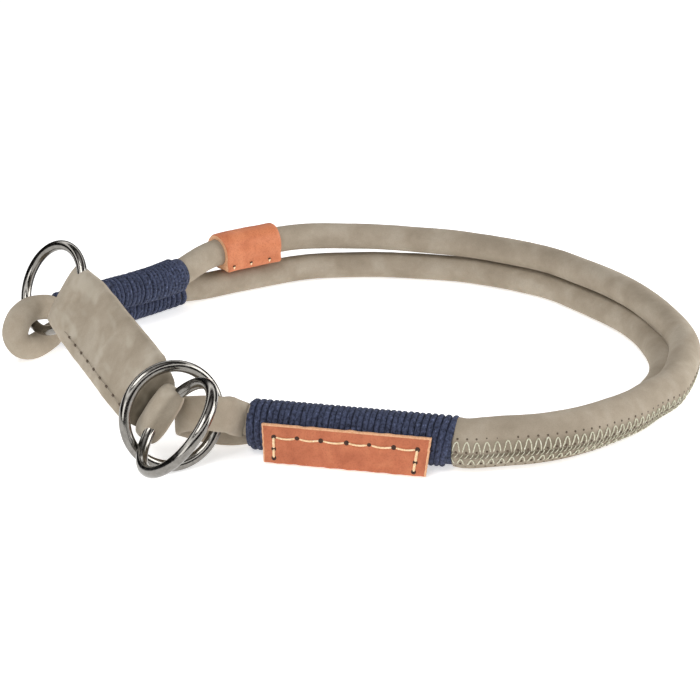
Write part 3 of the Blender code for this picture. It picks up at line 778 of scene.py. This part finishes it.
def make_front_eye():
    centre, to_eye, to_front = front_whipping_frame()
    mouth = centre + to_eye * FRONT_WHIPPING_LENGTH / 2
    along, front, rise = np.array(FRONT_EYE_ROUTE).T
    points = (mouth + np.outer(along * FRONT_EYE_REACH, to_eye)
              + np.outer(front * FRONT_EYE_LEG_THICKNESS, to_front)
              + np.outer(rise * FRONT_EYE_LEG_HEIGHT, UP))
    line, rows = smooth_line(points, 0.0007)
    squeeze = np.interp(np.interp(rows, np.arange(len(along)), along), (-0.13, 0.02),
                        (FRONT_EYE_SQUEEZE, 1.0))
    slim = 1.0 - 0.28 * bell(rows, 10.0, 1.6)
    loops = loops_along(line, ovals(44, FRONT_EYE_LEG_THICKNESS * slim,
                                    FRONT_EYE_LEG_HEIGHT * squeeze, 2.5))
    loops = swell(loops, 0.00008 * field(loops, 150.0, 9.0))
    loops = press_clear(loops, "front_ring")
    add_bodies("front_eye_loop", [loops], SUEDE, "suede", "front_eye")


# Whippings

THREAD_PITCH = 0.00136
END_TURNS = 3
END_PITCH = 0.00155
STEPS_PER_TURN = 56
# A turn's stray along the sleeve and off it, its radius for its pitch, and how proud it stands
TURN_SLIDE = 0.00026
TURN_RISE = 0.00013
TURN_RADIUS = 0.53
TURN_PROUD = 0.00005


def wound_thread(surface, total, seed, end_sine, end_cosine, end_shift, start_sine):
    """A thread wound round a sleeve from end to end, its last turns at each end thicker."""
    middle_turns = round((total - 2 * END_TURNS * END_PITCH) / THREAD_PITCH)
    pitch = (total - 2 * END_TURNS * END_PITCH) / middle_turns
    widths = [END_PITCH] * END_TURNS + [pitch] * middle_turns + [END_PITCH] * END_TURNS
    edges = np.concatenate([[0.0], np.cumsum(widths)])
    turns = np.arange(0, (len(widths) - 1) * STEPS_PER_TURN + 1) / STEPS_PER_TURN + 0.5
    places = np.interp(turns, np.arange(len(edges)), edges)
    path, normals, radii = [], [], []
    for turn, place in zip(turns, places):
        number = math.floor(turn)
        at_end = min(number, len(widths) - 1 - number) < END_TURNS
        rough = 0.35 if at_end else 1.0
        slide = TURN_SLIDE * rough * wave(turn * 0.8, seed, 1.0)
        rise = TURN_RISE * rough * wave(turn * 2.3, seed, 5.0)
        radius = np.interp(turn, np.arange(len(widths)) + 0.5, widths) * TURN_RADIUS
        radius *= 1.0 + 0.1 * rough * wave(turn * 3.1, seed, 9.0)
        near_end = max(0.0, (place - 0.72 * total) / (0.28 * total)) ** 2
        near_start = max(0.0, 1.0 - place / (0.22 * total)) ** 2
        angle = 2 * math.pi * turn
        tip = near_end * (end_sine * math.sin(angle) + end_cosine * math.cos(angle) + end_shift)
        tip += near_start * start_sine * math.sin(angle)
        point, normal = surface(place + slide + tip, angle, rise + TURN_PROUD - radius)
        path.append(point)
        normals.append(normal)
        radii.append(radius)
    return tube(np.array(path), np.array(radii), 10, np.array(normals))


def make_front_whipping():
    centre, to_eye, _ = front_whipping_frame()
    start = centre + to_eye * FRONT_WHIPPING_LENGTH / 2
    across = np.cross(UP, to_eye)

    def surface(place, angle, lift):
        side, rise = across * math.cos(angle), UP * math.sin(angle)
        normal = unit(side / SLEEVE_HALF_WIDTH + rise / SLEEVE_HALF_HEIGHT)
        point = start - to_eye * place + side * SLEEVE_HALF_WIDTH + rise * SLEEVE_HALF_HEIGHT
        return point + normal * lift, normal

    thread = wound_thread(surface, FRONT_WHIPPING_LENGTH, 1.0, 0.0013, 0.0, 0.0, -0.0007)
    ends = np.linspace(0.0003, FRONT_WHIPPING_LENGTH - 0.0003, 24)
    outline = oval(32) * (SLEEVE_HALF_WIDTH - 0.0007, SLEEVE_HALF_HEIGHT - 0.0007)
    core = loops_along(np.array([start - to_eye * place for place in ends]), [outline] * len(ends))
    add_bodies("front_whipping_thread", [thread, core], NAVY, "navy_thread", "front_whipping")


def two_strand_reach(angle, half_distance, radius, waist=0.97):
    """Distance to a sleeve round two cords; a waist below 1 leaves a shallower hollow."""
    along = half_distance * abs(math.cos(angle))
    return along + math.sqrt(radius ** 2 - waist * (half_distance * math.sin(angle)) ** 2)


def make_back_whipping():
    line, lean, strand = back_whipping_line(0.0006)
    beyond = line[-1] + unit(line[-1] - line[-3]) * 0.006
    total = arc_lengths(line)[-1]
    line = np.vstack([line, beyond])
    lean, strand = np.append(lean, lean[-1]), np.append(strand, strand[-1])
    lengths = arc_lengths(line)
    across, up = axes_along(line)

    def place_at(place, angle, inset):
        turn = np.interp(place, lengths, lean)
        size = np.interp(place, lengths, strand)
        middle, side, rise = (read_row(place, lengths, rows) for rows in (line, across, up))
        side, rise = (side * math.cos(turn) - rise * math.sin(turn),
                      rise * math.cos(turn) + side * math.sin(turn))
        reach = two_strand_reach(angle, size / 2 + GAP / 2, size / 2 + SLEEVE_WALL - inset)
        return middle + reach * (side * math.sin(angle) - rise * math.cos(angle))

    def surface(place, angle, lift):
        place = min(max(place, 0.0), lengths[-1])
        before, after = (place_at(place, angle + turn, -lift) for turn in (-0.02, 0.02))
        behind, ahead = (read_row(place + move, lengths, line) for move in (-0.0003, 0.0003))
        return place_at(place, angle, -lift), unit(np.cross(after - before, ahead - behind))

    thread = wound_thread(surface, total, 2.0, 0.0, 0.0036, 0.0014, 0.0)
    core = np.array([[place_at(place, 2 * math.pi * (k + 0.5) / 48, 0.0008) for k in range(48)]
                     for place in np.linspace(0.0003, total - 0.0003, 40)])
    add_bodies("back_whipping_thread", [thread, core], NAVY, "navy_thread", "back_whipping")


# Rings

def make_ring(name):
    centre, normal, level, up = ring_frame(name)
    turns, sides = 144, 28
    vertices = []
    for out in around(level, up, turns):
        section = around(out, normal, sides) * RING_WIRE / 2
        vertices.extend(centre + out * RING_RADIUS + section)
    faces = quads(turns, sides, closed_rows=True)
    add_mesh(name + "_wire", vertices, faces, METAL, "ring_metal", name)


# Slip strap

def strap_frame():
    """Start, run, width direction, face direction and outward side of the strap."""
    back_centre, back_normal, back_level, _ = ring_frame("back_ring")
    leash_centre, leash_normal, leash_level, _ = ring_frame("leash_ring")
    start = back_centre - back_level * RING_RADIUS
    run = leash_centre + leash_level * RING_RADIUS - start
    along = unit(run)
    face = (back_normal + leash_normal) / 2
    face = unit(face - along * (face @ along))
    width = np.cross(along, face)
    width *= math.copysign(1.0, width[2])
    return start, run, width, face, face * math.copysign(1.0, -face[1])


# The strap sinks away from the front, then rolls round the leash ring.
STRAP_DIP = 0.003
DIP_PLACE = 0.872
DIP_REACH = 0.045
NECK_THICKNESS = 0.003
ROLL_RADIUS = 0.0036
ROLL_PLACE = 0.99
END_SLANT = 0.0026
STRAP_STITCH_PITCH = 0.0052
STRAP_STITCH_INSET = 0.0031


def strap_half_thickness(where, fold, length):
    if where < 0.8:
        spread = STRAP_FOLD_THICKNESS - STRAP_THICKNESS
        return (STRAP_THICKNESS + fold * spread) / 2
    roll = math.sqrt(max(0.0, ROLL_RADIUS ** 2 - ((where - ROLL_PLACE) * length) ** 2))
    narrowing = min(1.0, (where - 0.8) / 0.07)
    flat = STRAP_THICKNESS + narrowing * (NECK_THICKNESS - STRAP_THICKNESS)
    return max(roll, flat / 2 if where < 1.0 else 0.0003)


def make_strap():
    start, run, width, face, outward = strap_frame()
    table = np.array(STRAP_SECTIONS)
    length = np.linalg.norm(run)
    where = np.concatenate([np.arange(-0.124, -0.09, 0.004), np.arange(-0.086, 0.93, 0.01),
                            np.arange(0.93, 1.042, 0.004)])
    low, high, fold = (np.interp(where, table[:, 0], table[:, k]) for k in (1, 2, 3))
    shape = oval(80, 3.4)
    across = ((low + high)[:, None] + shape[:, 0] * (high - low)[:, None]) / 2
    half = np.array([strap_half_thickness(w, f, length) for w, f in zip(where, fold)])
    dip = STRAP_DIP * bell(where, DIP_PLACE, DIP_REACH)
    slant = END_SLANT * np.clip((0.1 - where) / 0.22, 0.0, 1.0)
    along = where[:, None] * length - np.outer(slant, (shape[:, 0] + 1) / 2)
    loops = (start + along[..., None] * unit(run) + across[..., None] * STRAP_WIDTH * width
             + np.outer(half, shape[:, 1])[..., None] * face - dip[:, None, None] * outward)
    # The open edge, low on the strap, shows the two layers as a groove.
    flat = np.clip(1.0 - fold, 0.0, 1.0)[:, None] * (where < 0.9)[:, None]
    groove = bell(shape[:, 1], 0.0, 0.16) * (shape[:, 0] < -0.55)
    change = -0.0007 * groove * flat
    change = change + 0.00018 * field(loops, 75.0, 20.0) + 0.00008 * field(loops, 260.0, 21.0)
    # Gathers run into the roll from the dip.
    gather = bell(where, DIP_PLACE, 0.06)[:, None]
    change = change + 0.0005 * gather * np.sin(shape[:, 0] * 9.0)
    loops = swell(loops, change)
    # Painted shade in the fold before the roll, darkest at its low side, in stripes along the fold.
    fold_depth = 0.93 - 0.36 * step(across, 0.04, 0.08)
    fold_place = np.exp(-(np.abs(where - 0.868) / 0.066) ** 3.2)
    stripes = 0.92 + 0.08 * np.cos((where - 0.86) * 2 * math.pi / 0.034)
    shade = 1.0 - fold_depth * (fold_place * stripes)[:, None]
    # Painted shade on the roll's far edge.
    shade = shade * (1.0 - 0.45 * step(where, 1.034, 0.003)[:, None])
    leather = make_suede("strap_suede", wrinkles=0.42, with_painted_shade=True)
    strap = add_bodies("slip_strap_leather", [loops], leather, "suede", "slip_strap")
    paint_shade(strap, shade)


def make_strap_stitches():
    """The stitch line near the strap's open edge, sunk in the nap."""
    start, run, width, _, outward = strap_frame()
    length = np.linalg.norm(run)
    low = -0.575 * STRAP_WIDTH
    along = unit(run)
    threads, hole_shades = [], []
    for i, place in enumerate(np.arange(0.13 * length, 0.8 * length, STRAP_STITCH_PITCH)):
        across = low + STRAP_STITCH_INSET + 0.00012 * wave(i * 1.3, 4.0, 0.0)
        base = start + along * place + width * across + outward * STRAP_THICKNESS / 2
        path = [base + along * (u * STRAP_STITCH_PITCH * 0.38)
                + outward * (0.00012 - 0.0003 * abs(u) ** 3) for u in np.linspace(-1.0, 1.0, 7)]
        threads.append(tube(path, 0.00012, 6, [outward] * 7))
        for u in (0.44, 0.54):
            point = base + along * (u * STRAP_STITCH_PITCH) + outward * 0.00006
            hole_shades.append(dimple(point, outward, 0.00032))
    add_bodies("strap_stitches", threads, STRAP_THREAD, "suede")
    add_bodies("strap_stitch_hole_shades", hole_shades, SUEDE_HOLE_SHADE, "suede")


# Labels

def front_label_frame():
    centre, to_eye, to_front = front_whipping_frame()
    lean = FRONT_LABEL_LEAN
    reach = math.hypot(SLEEVE_HALF_WIDTH * math.cos(lean), SLEEVE_HALF_HEIGHT * math.sin(lean))
    face = to_front * math.cos(lean) + UP * math.sin(lean)
    rise = UP * math.cos(lean) - to_front * math.sin(lean)
    middle = centre + face * (reach + GAP + FRONT_LABEL_THICKNESS / 2)
    middle += rise * (FRONT_LABEL_MIDDLE_HEIGHT - middle[2]) / rise[2]
    return middle, -to_eye, rise, face


def pale_edge(piece, is_edge):
    """Give the cut edge's leather to the faces that are part of it."""
    piece.data.materials.append(CUT_EDGE)
    for polygon in piece.data.polygons:
        polygon.material_index = int(is_edge(polygon))
    piece.data.set_sharp_from_angle(angle=math.radians(50))


LABEL_FLARE = 0.022
RIM = 0.0005


def make_front_label():
    """A leather plate with rounded rims; the cut edge is paler than the face."""
    middle, along, rise, face = front_label_frame()
    half_length, half_height = FRONT_LABEL_LENGTH / 2, FRONT_LABEL_HEIGHT / 2
    columns, lines = 110, 26
    size = columns * lines
    vertices = []
    for side in (1.0, -1.0):
        for v in np.linspace(-1.0, 1.0, lines):
            for u in np.linspace(-1.0, 1.0, columns):
                x = u * half_length * (1.0 + LABEL_FLARE * v)
                y = v * half_height
                x += 0.00016 * wave(u * 2.0, v * 6.0, 1.0) * (abs(u) > 0.98)
                y += 0.0002 * wave(u * 9.0, v, 4.0) * (abs(v) > 0.98)
                near = max(1.0 - (1.0 - abs(u)) * half_length / RIM,
                           1.0 - (1.0 - abs(v)) * half_height / RIM, 0.0)
                z = side * (FRONT_LABEL_THICKNESS / 2 - 0.00018 * near ** 2)
                if side > 0:
                    z += 0.0001 * wave(u * 5.0, v * 2.0, 9.0)
                vertices.append(middle + along * x + rise * y + face * z)
    faces = quads(lines, columns, 0, flip=True, closed_columns=False)
    faces += quads(lines, columns, size, closed_columns=False)
    rim_loop = [*range(columns), *range(2 * columns - 1, size, columns),
                *range(size - 2, size - columns - 1, -1),
                *range(size - 2 * columns, 0, -columns)]
    rim_faces = [(a, size + a, size + b, b) for a, b in zip(rim_loop, rim_loop[1:] + rim_loop[:1])]

    def is_edge(polygon):
        line, place = divmod(polygon.vertices[0] % size, columns)
        return (polygon.index >= len(faces) or place in (0, columns - 2, columns - 1)
                or line > lines - 3)

    pale_edge(add_mesh("front_label_plate", vertices, faces + rim_faces, FRONT_LABEL,
                       "label_leather", "front_label"), is_edge)


LABEL_HOLES_TOP = (-0.857, -0.574, -0.288, 0.02, 0.29, 0.582, 0.862)


def make_front_label_stitches():
    """One row of stitches along the top and one down each side, with painted shade at their needle
    holes.
    """
    middle, along, rise, face = front_label_frame()
    half_length, half_height = FRONT_LABEL_LENGTH / 2, FRONT_LABEL_HEIGHT / 2
    proud = FRONT_LABEL_THICKNESS / 2

    def at(u, v, lift=0.0):
        spread = u * half_length * (1.0 + LABEL_FLARE * v)
        return middle + along * spread + rise * v * half_height + face * (proud + lift)

    top = [(u, 0.4 - 0.03 * abs(u)) for u in LABEL_HOLES_TOP]
    left = [(-0.865, -0.72), (-0.862, -0.25)]
    right = [(0.855, -0.3), (0.85, -0.78)]
    chain = left + top + right
    threads = []
    for (u0, v0), (u1, v1) in zip(chain, chain[1:]):
        across = abs(u1 - u0) > 0.1
        path = []
        trim = 0.06 if across else 0.1
        for t in np.linspace(0.0, 1.0, 15):
            share = trim + (1.0 - 2.0 * trim) * t
            sag = -0.07 * math.sin(math.pi * share) if across else 0.0
            u, v = u0 + (u1 - u0) * share, v0 + (v1 - v0) * share + sag
            lift = 0.00052 * math.sin(math.pi * t) ** 0.5 - 0.00036
            path.append(at(u, v, lift))
        radius = 0.00023 if across else 0.00034
        threads.append(tube(path, radius, 10, [face] * 15))
    hole_shades = [dimple(at(u, v), face, 0.00062) for u, v in chain]
    add_bodies("front_label_stitches", threads, CREAM, "label_leather")
    add_bodies("front_label_hole_shades", hole_shades, HOLE_SHADE, "label_leather")


def back_label_path(stations):
    line, _, _, _ = main_cord_stations(0.0012)
    lengths = arc_lengths(line)
    back_run = (line[:, 0] < 0) & (line[:, 1] > 0)
    middle = np.interp(BACK_LABEL_PLACE * LOOP_WIDTH, line[back_run, 0], lengths[back_run])
    steps = middle + np.linspace(-0.5, 0.5, stations) * BACK_LABEL_LENGTH
    return read_row(steps, lengths, line).T


def make_back_label():
    """Leather strip wrapped round the upper cord, its ends stitched together below."""
    path = back_label_path(40)
    circle = oval(96)
    angles = np.arctan2(circle[:, 1], circle[:, 0])
    nearness = bell(angles, BACK_LABEL_TAB_ANGLE, math.radians(13.0))
    outer = circle * (BACK_LABEL_RADIUS + BACK_LABEL_TAB * nearness)[:, None]
    bore = circle * (CORD_DIAMETER / 2 + 0.00008)
    outside = loops_along(path, [outer] * len(path))
    outside = swell(outside, 0.0001 * field(outside, 200.0, 30.0))
    inside = loops_along(path, [bore] * len(path))
    for k in (0, -1):
        middle = inside[k].mean(axis=0)
        outside[k] = middle + (outside[k] - middle) * BACK_LABEL_END
    count, sides = outside.shape[:2]

    def is_edge(polygon):
        return polygon.index // sides in (count - 1, 2 * count - 1)

    vertices = np.concatenate([outside, inside[::-1]]).reshape(-1, 3)
    pale_edge(add_mesh("back_label_strip", vertices, quads(2 * count, sides, closed_rows=True),
                       BACK_LABEL, "label_leather", "back_label"), is_edge)


def make_back_label_stitches():
    path = back_label_path(41)
    across, up = axes_along(path)
    angle = BACK_LABEL_TAB_ANGLE + math.radians(2.0)
    radius = BACK_LABEL_RADIUS + BACK_LABEL_TAB * 0.55
    threads, hole_shades = [], []
    for k in (5, 18, 31):
        outward = across[k] * math.cos(angle) + up[k] * math.sin(angle)
        tangent = unit(path[k + 1] - path[k - 1])
        over = np.cross(tangent, outward)
        base = path[k] + outward * radius
        span = [base + over * u * 0.0011 + outward * (0.00035 * (1 - u * u) - 0.00012)
                for u in np.linspace(-1.0, 1.0, 9)]
        threads.append(tube(span, 0.00036, 8, [outward] * 9))
        for u in (-1.0, 1.0):
            hole_shades.append(dimple(base + over * u * 0.0011 + outward * 0.00001, outward, 0.00045))
    add_bodies("back_label_stitches", threads, CREAM, "label_leather")
    add_bodies("back_label_hole_shades", hole_shades, HOLE_SHADE, "label_leather")


# Surroundings

FLOOR_HALF = 12.0
FLOOR_GLOW = 0.56
WORLD_STRENGTH = 0.35
# What the metal reflects, from straight down to straight up
REFLECTED_BANDS = ((0.0, 0.1), (0.06, 0.02), (0.4, 0.02), (0.48, 3.5), (0.62, 8.5), (0.7, 0.15),
                   (0.9, 0.1), (1.0, 2.5))
CAMERA_PLACE = (0.0, -0.41, 0.1706)
CAMERA_TILT = math.radians(22.0)
SENSOR_WIDTH = 36.0
FOCAL_LENGTH = 1608.0 / 700.0 * SENSOR_WIDTH


def make_floor():
    mesh = bpy.data.meshes.new("floor")
    corners = [(x * FLOOR_HALF, y * FLOOR_HALF, 0) for x, y in ((-1, -1), (1, -1), (1, 1), (-1, 1))]
    mesh.from_pydata(corners, [], [(0, 1, 2, 3)])
    nodes = Nodes("floor_paper", Roughness=0.9, Base_Color=(0.93, 0.93, 0.93, 1.0),
                  Emission_Color=(*WHITE, 1.0), Emission_Strength=FLOOR_GLOW,
                  Specular_IOR_Level=0.1)
    mesh.materials.append(nodes.material)
    add_object("floor", mesh)


def make_world():
    """Even white surroundings, with bright and dark bands for the metal to reflect."""
    world = bpy.data.worlds.new("studio")
    bpy.context.scene.world = world
    world.use_nodes = True
    nodes = Tree(world.node_tree)
    parts = nodes.add("ShaderNodeSeparateXYZ")
    nodes.link(nodes.add("ShaderNodeTexCoord").outputs["Generated"], parts.inputs[0])
    bands = nodes.ramp(parts.outputs["Z"], REFLECTED_BANDS)
    glossy = nodes.add("ShaderNodeLightPath").outputs["Is Glossy Ray"]
    background = world.node_tree.nodes["Background"]
    nodes.link(nodes.mix(glossy, WHITE, bands), background.inputs["Color"])
    background.inputs["Strength"].default_value = WORLD_STRENGTH


def make_light(name, place, target, size, power):
    light = bpy.data.lights.new(name, "AREA")
    light.shape = "RECTANGLE"
    light.size, light.size_y = size
    light.energy = power
    made = add_object(name, light)
    made.location = place
    made.rotation_euler = (Vector(target) - Vector(place)).to_track_quat("-Z", "Y").to_euler()


def make_camera():
    camera = bpy.data.cameras.new("camera")
    camera.sensor_width = SENSOR_WIDTH
    camera.lens = FOCAL_LENGTH
    made = add_object("camera", camera)
    made.location = Vector(CAMERA_PLACE) + Vector(SHIFT)
    made.rotation_euler = (math.pi / 2 - CAMERA_TILT, 0.0, 0.0)
    bpy.context.scene.camera = made


make_upper_cord()
make_lower_cord()
make_band_seam()
make_back_eye()
make_front_eye()
make_back_whipping()
make_front_whipping()
make_strap()
make_strap_stitches()
make_front_label()
make_front_label_stitches()
make_back_label()
make_back_label_stitches()
for ring_name in RINGS:
    make_ring(ring_name)

make_floor()
make_world()
make_light("key", (-0.25, -0.35, 0.75), (0.0, 0.0, 0.0), (0.5, 0.35), 3.0)
make_light("fill", (0.72, 0.06, 0.24), (0.0, 0.0, 0.0), (0.5, 0.5), 4.3)
make_light("front", (-0.4, -0.65, 0.22), (-0.05, -0.05, 0.01), (0.4, 0.3), 1.3)
make_camera()
bpy.context.scene.view_settings.view_transform = "Standard"
